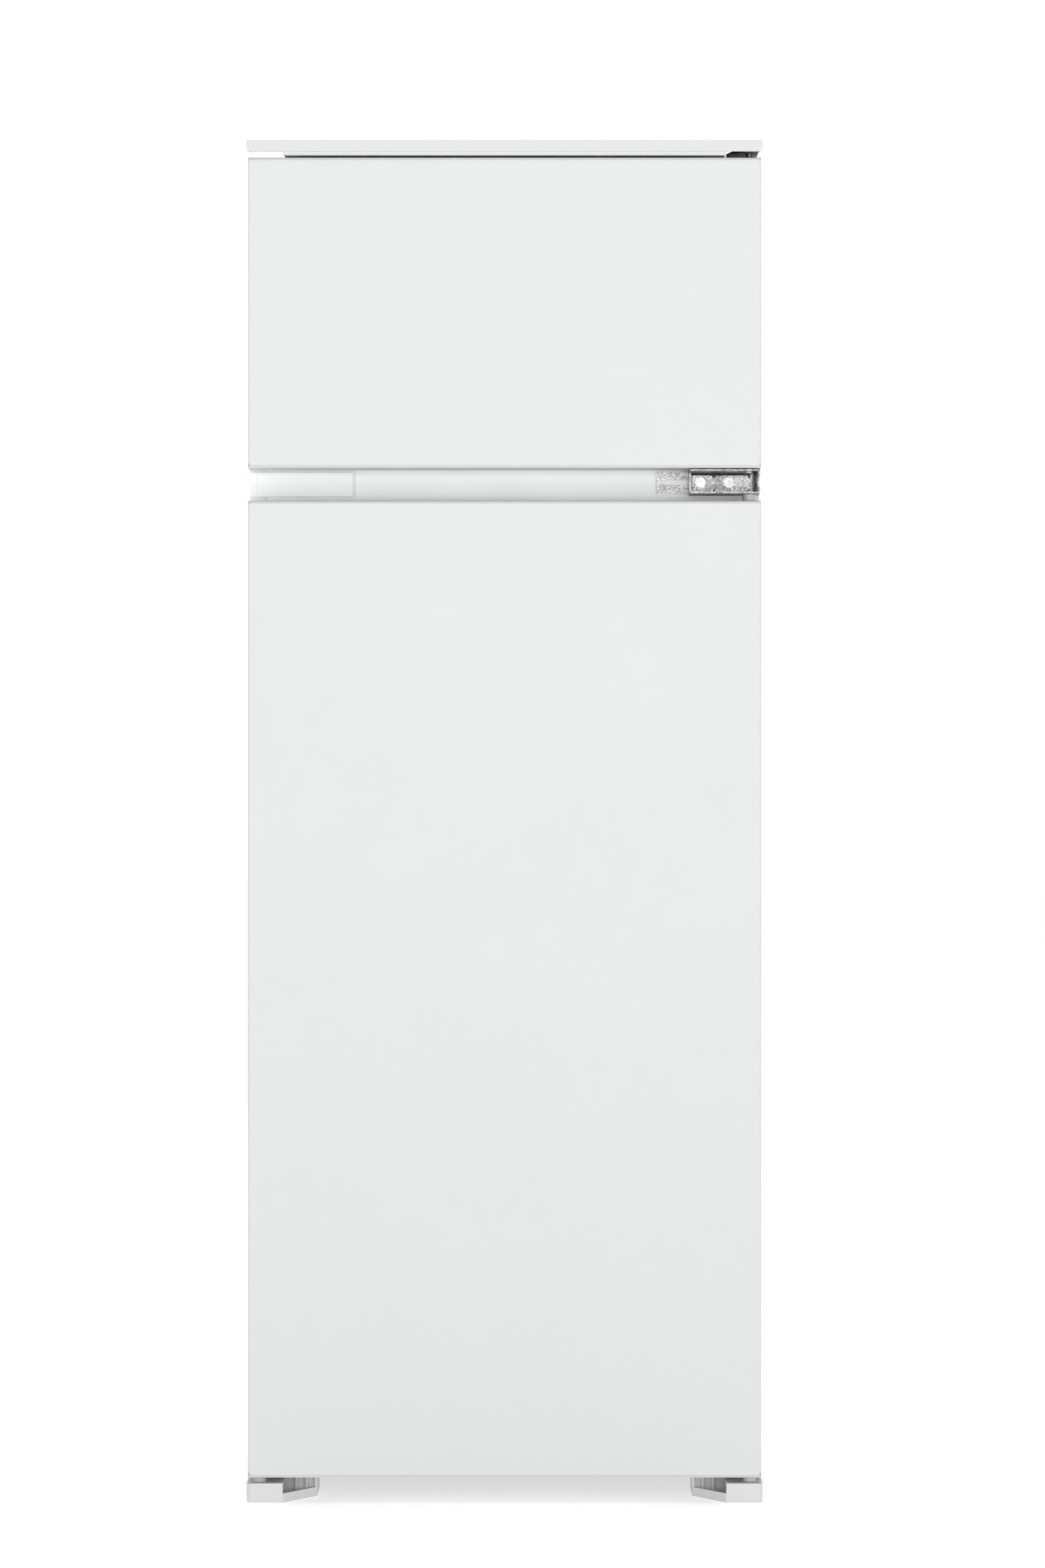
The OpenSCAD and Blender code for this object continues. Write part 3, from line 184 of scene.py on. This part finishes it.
def spangle(name, lo, hi, rough, cell, stains=0.6):
    """Zinc plated steel: crystal cells of uneven shade and gloss, rolling lines and small stains."""
    cold = (1, 1, 1.01)
    m, nt, b = new_mat(name)
    v = coords(nt)
    warp = nt.nodes.new("ShaderNodeVectorMath")
    warp.operation = "MULTIPLY_ADD"
    nz = nt.nodes.new("ShaderNodeTexNoise")
    nz.inputs["Scale"].default_value = cell * 0.7
    nt.links.new(v, nz.inputs["Vector"])
    nt.links.new(nz.outputs["Color"], warp.inputs[0])
    warp.inputs[1].default_value = (4 * MM, 4 * MM, 4 * MM)
    nt.links.new(v, warp.inputs[2])
    cells = voronoi(nt, warp.outputs[0], cell)
    sep = nt.nodes.new("ShaderNodeSeparateColor")
    nt.links.new(cells, sep.inputs[0])
    grain = noise(nt, v, 1500, 3, 0.7)
    stain = noise(nt, v, 45, 4, 0.65)
    stops = ((0.0, lo), (0.55, (lo + hi) / 2), (1.0, hi))
    tone = ramp(nt, sep.outputs[0], [(p, times(grey, cold)) for p, grey in stops])
    tone = mix(nt, spread(nt, grain, 0.0, 0.55), tone, times(lo * 0.62, cold))
    tone = mix(nt, spread(nt, stain, 0.0, stains, 0.42, 0.62), tone, times(hi * 1.02, cold))
    nt.links.new(tone, b.inputs["Base Color"])
    nt.links.new(spread(nt, sep.outputs[1], *rough, 0, 1), b.inputs["Roughness"])
    n1 = bump(nt, b, grain, 0.3, 0.0003)
    bump(nt, b, noise(nt, coords(nt, (0.35, 1, 1)), 520, 2), 0.22, 0.0004, n1)
    b.inputs["Metallic"].default_value = 1.0
    return m


def steel(name, c, rough=(0.2, 0.34), lines=(1, 1, 30), vary=0.14):
    """Turned or drawn metal with fine tool lines and handling marks."""
    m, nt, b = new_mat(name)
    v = coords(nt)
    ln = noise(nt, coords(nt, lines), 260, 3, 0.6)
    spots = noise(nt, v, 70, 4, 0.7)
    base = mix(nt, ln, c, times(1 - vary, c))
    nt.links.new(mix(nt, spread(nt, spots, 0, 0.5, 0.5, 0.7), base, times(0.6, c)), b.inputs["Base Color"])
    nt.links.new(spread(nt, spots, *rough), b.inputs["Roughness"])
    bump(nt, b, ln, 0.3, 0.0002)
    b.inputs["Metallic"].default_value = 1.0
    return m


def clear(name, c, rough, ior, trans=1.0, ribs=0.0, haze=0.05):
    """Glass or clear plastic: smeared gloss, a faint uneven surface and, on a lens, ribs."""
    m, nt, b = new_mat(name)
    v = coords(nt)
    smear = noise(nt, v, 18, 4, 0.6)
    nt.links.new(mix(nt, smear, c, times(0.97, c)), b.inputs["Base Color"])
    nt.links.new(spread(nt, smear, rough, rough + haze), b.inputs["Roughness"])
    b.inputs["Transmission Weight"].default_value = trans
    b.inputs["IOR"].default_value = ior
    n1 = bump(nt, b, noise(nt, v, 240, 2), 0.06, 0.0003)
    if ribs:
        w = nt.nodes.new("ShaderNodeTexWave")
        w.inputs["Scale"].default_value = ribs
        nt.links.new(v, w.inputs["Vector"])
        bump(nt, b, w.outputs["Fac"], 0.6, 0.0008, n1)
    return m


def foam_mat():
    """Yellowed polyurethane foam with its cells cut open; the open cells are darkened with painted shade."""
    m, nt, b = new_mat("cut_foam")
    v = coords(nt)
    cells = voronoi(nt, v, 900, out="Distance")
    big = noise(nt, v, 25, 4)
    base = mix(nt, big, (0.78, 0.68, 0.42), (0.86, 0.78, 0.55))
    # painted shade: a darker colour in the hollows of the open cells
    painted_pore_shade = spread(nt, cells, 0.5, 0, 0.1, 0.6)
    nt.links.new(mix(nt, painted_pore_shade, base, (0.62, 0.5, 0.28)), b.inputs["Base Color"])
    b.inputs["Roughness"].default_value = 0.85
    n1 = bump(nt, b, cells, 0.7, 0.0008)
    bump(nt, b, big, 0.4, 0.004, n1)
    return m


def rubber_mat(name, c, rough=(0.5, 0.65)):
    """Soft vinyl or rubber with a pale bloom."""
    m, nt, b = new_mat(name)
    v = coords(nt)
    bloom = noise(nt, v, 40, 5, 0.65)
    paler = tuple(x * 0.9 + 0.02 for x in c)
    nt.links.new(mix(nt, spread(nt, bloom, 0, 0.6), c, paler), b.inputs["Base Color"])
    nt.links.new(spread(nt, noise(nt, v, 110, 3), *rough), b.inputs["Roughness"])
    bump(nt, b, noise(nt, v, 1400, 2), 0.2, 0.0002)
    b.inputs["Sheen Weight"].default_value = 0.1
    return m


def black_paint(name):
    """Dipped black lacquer that has gathered a little pale dust on what faces up."""
    dusty = 0.35
    m, nt, b = new_mat(name)
    v = coords(nt)
    geo = nt.nodes.new("ShaderNodeNewGeometry")
    sep = nt.nodes.new("ShaderNodeSeparateXYZ")
    nt.links.new(geo.outputs["Normal"], sep.inputs[0])
    dust = nt.nodes.new("ShaderNodeMath")
    dust.operation = "MULTIPLY"
    nt.links.new(spread(nt, sep.outputs[2], 0, dusty, 0.2, 1.0), dust.inputs[0])
    nt.links.new(noise(nt, v, 55, 5, 0.7), dust.inputs[1])
    base = mix(nt, noise(nt, v, 12, 3), (0.018, 0.018, 0.019), (0.028, 0.028, 0.03))
    nt.links.new(mix(nt, dust.outputs[0], base, (0.32, 0.31, 0.29)), b.inputs["Base Color"])
    nt.links.new(spread(nt, noise(nt, v, 90, 3), 0.28, 0.46), b.inputs["Roughness"])
    bump(nt, b, noise(nt, v, 300, 3), 0.2, 0.0004)
    return m


def copper_mat():
    """Drawn copper tube, tarnished in patches."""
    m, nt, b = new_mat("drawn_copper")
    v = coords(nt)
    tar = noise(nt, v, 30, 5, 0.65, 0.4)
    c = ramp(nt, tar, [(0.3, (0.72, 0.34, 0.2)), (0.5, (0.62, 0.27, 0.15)), (0.72, (0.33, 0.15, 0.09))])
    nt.links.new(c, b.inputs["Base Color"])
    nt.links.new(spread(nt, tar, 0.24, 0.5), b.inputs["Roughness"])
    bump(nt, b, noise(nt, v, 700, 2), 0.2, 0.0002)
    b.inputs["Metallic"].default_value = 1.0
    return m


MAT = {
    "white_steel": lacquer("door_lacquer", (0.72, 0.737, 0.729), rough=(0.38, 0.46), spec=0.3),
    "cabinet_steel": lacquer("cabinet_lacquer", (0.83, 0.846, 0.84), rough=(0.34, 0.42), spec=0.35),
    "white_plastic": moulded("white_moulding", (0.88, 0.892, 0.888), rough=(0.3, 0.42)),
    "foot_plastic": moulded("foot_moulding", (0.7, 0.712, 0.706), rough=(0.4, 0.5)),
    "trim_plastic": moulded("trim_moulding", (0.7, 0.715, 0.708), rough=(0.38, 0.46)),
    "liner_plastic": lacquer("liner_sheet", (0.84, 0.86, 0.865), rough=(0.3, 0.38), peel=0.05, scale=160),
    "rack_plastic": clear("rack_moulding", (0.97, 0.985, 0.99), rough=0.14, trans=0.8, ior=1.4, haze=0.1),
    "crisper_plastic": clear("crisper_moulding", (0.93, 0.97, 0.98),
                             rough=0.1, trans=0.88, ior=1.4, haze=0.1),
    # band between the doors: a brighter white than the other mouldings, painted light that offsets the shade
    # in its recess
    "band_plastic_painted_light": moulded("band_moulding_painted_light", (0.93, 0.945, 0.94), rough=(0.34, 0.44), vary=0.012),
    # door caps: their darker grey is painted shade, standing in for the shade on the caps' rounded edges
    "cap_plastic_painted_shade": moulded("cap_moulding_painted_shade", (0.6, 0.615, 0.61), rough=(0.4, 0.5)),
    "zinc_steel": spangle("zinc_plate", 0.1, 0.5, rough=(0.24, 0.5), cell=900, stains=0.4),
    "hinge_steel": spangle("dark_zinc_plate", 0.06, 0.2, rough=(0.3, 0.5), cell=320),
    "pin_steel": steel("turned_pin", (0.45, 0.45, 0.46), lines=(1, 1, 60)),
    "screw_steel": steel("plated_screw", (0.4, 0.4, 0.4), rough=(0.2, 0.32), lines=(1, 1, 1), vary=0.3),
    "galvanised": spangle("galvanised_sheet", 0.5, 0.62, rough=(0.36, 0.5), cell=170, stains=0.2),
    "foam": foam_mat(),
    "seal": rubber_mat("seal_vinyl", (0.78, 0.78, 0.775), rough=(0.42, 0.55)),
    "black_steel": black_paint("black_lacquer"),
    "grommet_rubber": rubber_mat("grommet_rubber", (0.022, 0.022, 0.022)),
    "black_plastic": moulded("black_moulding", (0.028, 0.028, 0.03), rough=(0.42, 0.6), vary=0.2),
    "grey_plastic": moulded("grey_moulding", (0.3, 0.3, 0.31), vary=0.08),
    "copper": copper_mat(),
    "aluminium_sheet": steel("rolled_aluminium", (0.78, 0.79, 0.8),
                             rough=(0.28, 0.4), lines=(1, 30, 1), vary=0.06),
    "glass": clear("shelf_glass", (0.88, 0.97, 0.94), rough=0.01, ior=1.52, haze=0.03),
    "lens_plastic": clear("lamp_lens", (0.95, 0.96, 0.96), rough=0.12, ior=1.49, ribs=90),
    "bulb_glass": clear("frosted_bulb", (0.96, 0.95, 0.92), rough=0.45, ior=1.45, trans=0.7),
}
# pieces whose shade differs from the one their slot names
LOOK = {
    "left_side_panel": "cabinet_steel", "right_side_panel": "cabinet_steel", "top_panel": "cabinet_steel",
    "left_foot": "foot_plastic", "right_foot": "foot_plastic", "trim_rail": "trim_plastic",
    # the crossbar and hinge-hole covers take the band's brighter white, which is painted light
    "crossbar_cover": "band_plastic_painted_light", "hinge_hole_cover": "band_plastic_painted_light",
    # the door caps take a darker grey that is painted shade
    "freezer_door_caps": "cap_plastic_painted_shade", "fridge_door_caps": "cap_plastic_painted_shade",
}
for sp in frame["record"]["subparts"]:
    o = N[sp["node"]]
    o.data.materials.clear()
    o.data.materials.append(MAT[LOOK.get(sp["node"], sp["material_slot"])])

# small edge radii in mm on sharp moulded and folded pieces
SOFT_EDGE = {
    "left_side_panel": 0.3, "right_side_panel": 0.3, "top_panel": 0.3, "crossbar_cover": 0.5,
    "top_trim": 0.5, "trim_rail": 0.4, "hinge_hole_cover": 0.5, "middle_hinge_arm": 0.35,
    "middle_hinge_plate": 0.25, "top_hinge": 0.4, "left_foot": 0.7, "right_foot": 0.7, "rear_skids": 1.0,
    "relay_box": 1.2, "drip_tray": 0.6, "condenser_spacers": 1.0, "cord_gland": 1.0, "shelf_glass": 0.5,
    "shelf_trims": 1.2, "control_housing": 1.6, "thermostat_knob": 0.4, "lamp_lens": 0.8,
    "switch_housing": 1.0, "switch_plunger": 0.5, "left_crisper": 0.8, "right_crisper": 0.8,
    "freezer_door_caps": 0.4, "fridge_door_caps": 0.4, "freezer_door_liner": 0.9,
    "fridge_door_liner": 0.9, "freezer_door_racks": 0.8, "fridge_door_racks": 0.8,
    "freezer_door_seal": 0.6, "fridge_door_seal": 0.6, "fridge_liner": 0.8, "freezer_liner": 0.8,
    "hinge_screws": 0.3, "compressor_plate": 0.5,
}
for name, radius in SOFT_EDGE.items():
    md = N[name].modifiers.new("edge", "BEVEL")
    md.width = radius * MM
    md.segments = 2
    md.limit_method = "ANGLE"
    md.angle_limit = math.radians(50)
    md.harden_normals = True


# ---------------------------------------------------------------- mesh helpers
def shape(name, bm, mat, body):
    """A finished mesh from bm, with its material, riding on a body."""
    bmesh.ops.recalc_face_normals(bm, faces=bm.faces)
    me = bpy.data.meshes.new(name)
    bm.to_mesh(me)
    bm.free()
    o = bpy.data.objects.new(name, me)
    col.objects.link(o)
    me.materials.append(MAT[mat])
    me.shade_smooth()
    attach(o, body)


def lathe(bm, profile, at, n, back=False):
    """Turns (radius, height) points in mm about the axis up, or to the back, through at."""
    up = Matrix(((1, 0, 0), (0, 0, 1), (0, 1, 0))) if back else Matrix.Identity(3)
    rings = []
    for r, h in profile:
        turns = [2 * math.pi * k / n for k in range(n)] if r else [0]
        rings.append([bm.verts.new(up @ Vector((r * math.cos(t), r * math.sin(t), h)) * MM + Vector(at))
                      for t in turns])
    for a, b in zip(rings, rings[1:]):
        for k in range(n):
            q = (k + 1) % n
            if len(a) == 1:
                bm.faces.new([a[0], b[q], b[k]])
            elif len(b) == 1:
                bm.faces.new([a[k], a[q], b[0]])
            else:
                bm.faces.new([a[k], a[q], b[q], b[k]])


def block(bm, lo, hi, r, place):
    """A box from lo to hi with its edges broken by r, set by the matrix place; all in metres."""
    c = [(a + b) / 2 for a, b in zip(lo, hi)]
    d = [b - a for a, b in zip(lo, hi)]
    cube = bmesh.ops.create_cube(bm, size=1, matrix=place @ Matrix.Translation(c) @ Matrix.Diagonal((*d, 1)))
    edges = list({e for v in cube["verts"] for e in v.link_edges})
    bmesh.ops.bevel(bm, geom=edges, offset=r, segments=1, affect="EDGES", profile=0.5)


def lo_hi(node):
    """The two corners of a CAD node's box."""
    a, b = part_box(node)
    return Vector(a), Vector(b)


# ---------------------------------------------------------------- extra pieces
def door_top_screw():
    """Plated blanking screw on the freezer door's top, at the unused pivot."""
    low, high = lo_hi("freezer_door_caps")
    pivot_x, from_front, sunk, r = -258.5 * MM, 20 * MM, 0.2 * MM, 4.6
    bm = bmesh.new()
    lathe(bm, [(0, 0), (r * 0.97, 0), (r, 0.4), (r, 0.9), (r * 0.86, 1.7), (r * 0.6, 2.3), (r * 0.36, 2.5),
               (r * 0.3, 1.6), (0, 1.5)], (pivot_x, low.y + from_front, high.z - sunk), 40)
    shape("door_top_screw", bm, "screw_steel", "freezer_door")


def dial_marks():
    """Eleven raised marks round the thermostat's dial, every fifth one wider and longer."""
    low, high = lo_hi("thermostat_knob")
    face_y = lo_hi("control_housing")[0].y
    knob_r = (high.x - low.x) / 2
    middle = Matrix.Translation(((low.x + high.x) / 2, 0, (low.z + high.z) / 2))
    clear_r, proud, sunk, broken = 1.2 * MM, 0.25 * MM, 0.3 * MM, 0.1 * MM
    first, step, count, every = -120, 24, 11, 5
    bm = bmesh.new()
    for k in range(count):
        half, reach = (0.5 * MM, 3.6 * MM) if k % every == 0 else (0.3 * MM, 2.8 * MM)
        block(bm, (-half, face_y - proud, knob_r + clear_r), (half, face_y + sunk, knob_r + reach), broken,
              middle @ Matrix.Rotation(math.radians(first + step * k), 4, "Y"))
    shape("dial_marks", bm, "grey_plastic", "cabinet")


def back_panel_screws():
    """Screws with washers down both edges of the back panel."""
    low, high = lo_hi("back_panel")
    in_x, in_z, count = 11 * MM, 30 * MM, 6
    step = (high.z - low.z - 2 * in_z) / (count - 1)
    bm = bmesh.new()
    for x in (low.x + in_x, high.x - in_x):
        for k in range(count):
            lathe(bm, [(0, 2.1), (1.2, 2.1), (2.2, 1.8), (3, 1), (3.1, 0.6), (4.4, 0.6), (4.5, 0.1),
                       (4.4, -0.2), (0, -0.2)], (x, high.y, low.z + in_z + k * step), 28, back=True)
    shape("back_panel_screws", bm, "screw_steel", "cabinet")


def foam_filler_plugs():
    """The two plugs that close the holes through which the cabinet is foamed."""
    high = lo_hi("back_panel")[1]
    off_middle, down = 170 * MM, 130 * MM
    bm = bmesh.new()
    for x in (-off_middle, off_middle):
        lathe(bm, [(0, -0.3), (12, -0.3), (12, 0), (11.2, 1.2), (9.8, 1.8), (6.6, 1.8), (6, 1.1), (0, 1.1)],
              (x, high.y, high.z - down), 40, back=True)
    shape("foam_filler_plugs", bm, "grey_plastic", "cabinet")


def hinge_washer():
    """Thrust washer on the hinge pin, between the arm and the freezer door."""
    low, high = lo_hi("middle_hinge_pin")
    arm_top = lo_hi("middle_hinge_arm")[1].z
    bm = bmesh.new()
    lathe(bm, [(4.3, 0.1), (7.4, 0.1), (7.7, 0.3), (7.7, 0.6), (7.4, 0.8), (4.3, 0.8), (4.3, 0.1)],
          ((low.x + high.x) / 2, (low.y + high.y) / 2, arm_top), 40)
    shape("hinge_washer", bm, "pin_steel", "cabinet")


door_top_screw()
dial_marks()
back_panel_screws()
foam_filler_plugs()
hinge_washer()


# ---------------------------------------------------------------- stage
def studio_floor(size=60, below=0.5 * MM):
    """A pale floor that glows more away from the object, so that it ends in plain white."""
    s = size / 2
    me = bpy.data.meshes.new("studio_floor")
    me.from_pydata([(-s, -s, 0), (s, -s, 0), (s, s, 0), (-s, s, 0)], [], [(0, 1, 2, 3)])
    o = bpy.data.objects.new("studio_floor", me)
    o.location = (0, 0, -below)
    col.objects.link(o)
    m, nt, b = new_mat("studio_floor")
    pale = mix(nt, noise(nt, coords(nt), 3, 2), (0.93, 0.93, 0.93), (0.95, 0.95, 0.95))
    nt.links.new(pale, b.inputs["Base Color"])
    b.inputs["Roughness"].default_value = 0.9
    b.inputs["Specular IOR Level"].default_value = 0.0
    b.inputs["Emission Color"].default_value = WHITE
    away = nt.nodes.new("ShaderNodeVectorMath")
    away.operation = "LENGTH"
    nt.links.new(coords(nt), away.inputs[0])
    glow = spread(nt, away.outputs["Value"], 0.42, 0.56, 0.9, 3.6)
    nt.links.new(glow, b.inputs["Emission Strength"])
    me.materials.append(m)
    return o


def studio_world():
    """White to the camera; as a light it is dim in front of the object and bright behind it."""
    w = bpy.data.worlds.new("studio")
    bpy.context.scene.world = w
    w.use_nodes = True
    nt = w.node_tree
    nt.nodes.clear()
    out = nt.nodes.new("ShaderNodeOutputWorld")
    bg = nt.nodes.new("ShaderNodeBackground")
    bg.inputs["Color"].default_value = WHITE
    tc = nt.nodes.new("ShaderNodeTexCoord")
    sep = nt.nodes.new("ShaderNodeSeparateXYZ")
    nt.links.new(tc.outputs["Generated"], sep.inputs[0])
    light = spread(nt, sep.outputs[1], 0.08, 0.85, -0.75, 0.75)
    seen = nt.nodes.new("ShaderNodeLightPath")
    strength = nt.nodes.new("ShaderNodeMix")
    nt.links.new(seen.outputs["Is Camera Ray"], strength.inputs[0])
    nt.links.new(light, strength.inputs[2])
    strength.inputs[3].default_value = 1.05
    nt.links.new(strength.outputs[0], bg.inputs["Strength"])
    nt.links.new(bg.outputs[0], out.inputs[0])


def softbox(name, loc, aim, size, power):
    """A rectangular lamp at loc in metres, turned to aim, of power watts."""
    d = bpy.data.lights.new(name, "AREA")
    d.shape = "RECTANGLE"
    d.size, d.size_y = size
    d.energy = power
    o = bpy.data.objects.new(name, d)
    o.location = loc
    o.rotation_euler = (Vector(aim) - Vector(loc)).to_track_quat("-Z", "Y").to_euler()
    o.visible_camera = False
    col.objects.link(o)


studio_floor()
studio_world()
softbox("key", (-2.6, -3.4, 2.9), (0, -0.2, 0.8), (1.8, 2.4), 11)
softbox("fill", (2.9, -3.2, 1.6), (0, -0.2, 0.7), (1.4, 2.6), 8)
softbox("front", (0.6, -6.2, 0.9), (0, -0.2, 0.75), (7.0, 2.0), 165)
softbox("top", (0, -0.6, 4.0), (0, -0.1, 0.7), (3.0, 2.4), 30)
softbox("back_left", (-2.8, 3.2, 2.2), (0, 0.2, 0.7), (1.8, 2.2), 16)
softbox("back_right", (2.8, 3.0, 1.8), (0, 0.2, 0.7), (1.6, 2.2), 14)

# straight from the front, a little above the middle; the frame's height spans SEEN_H at the doors
DISTANCE = 4.8
SEEN_H = 1.639344
SENSOR = 36.0
cam = bpy.data.cameras.new("camera")
cam.sensor_fit = "AUTO"
cam.sensor_width = SENSOR
cam.lens = SENSOR * DISTANCE / SEEN_H
cam.clip_end = 60
co = bpy.data.objects.new("camera", cam)
co.location = (0.0188, cad_box[0][1] - DISTANCE, 0.7514)
co.rotation_euler = (math.radians(90), 0, 0)
col.objects.link(co)
bpy.context.scene.camera = co
bpy.context.scene.view_settings.view_transform = "Standard"
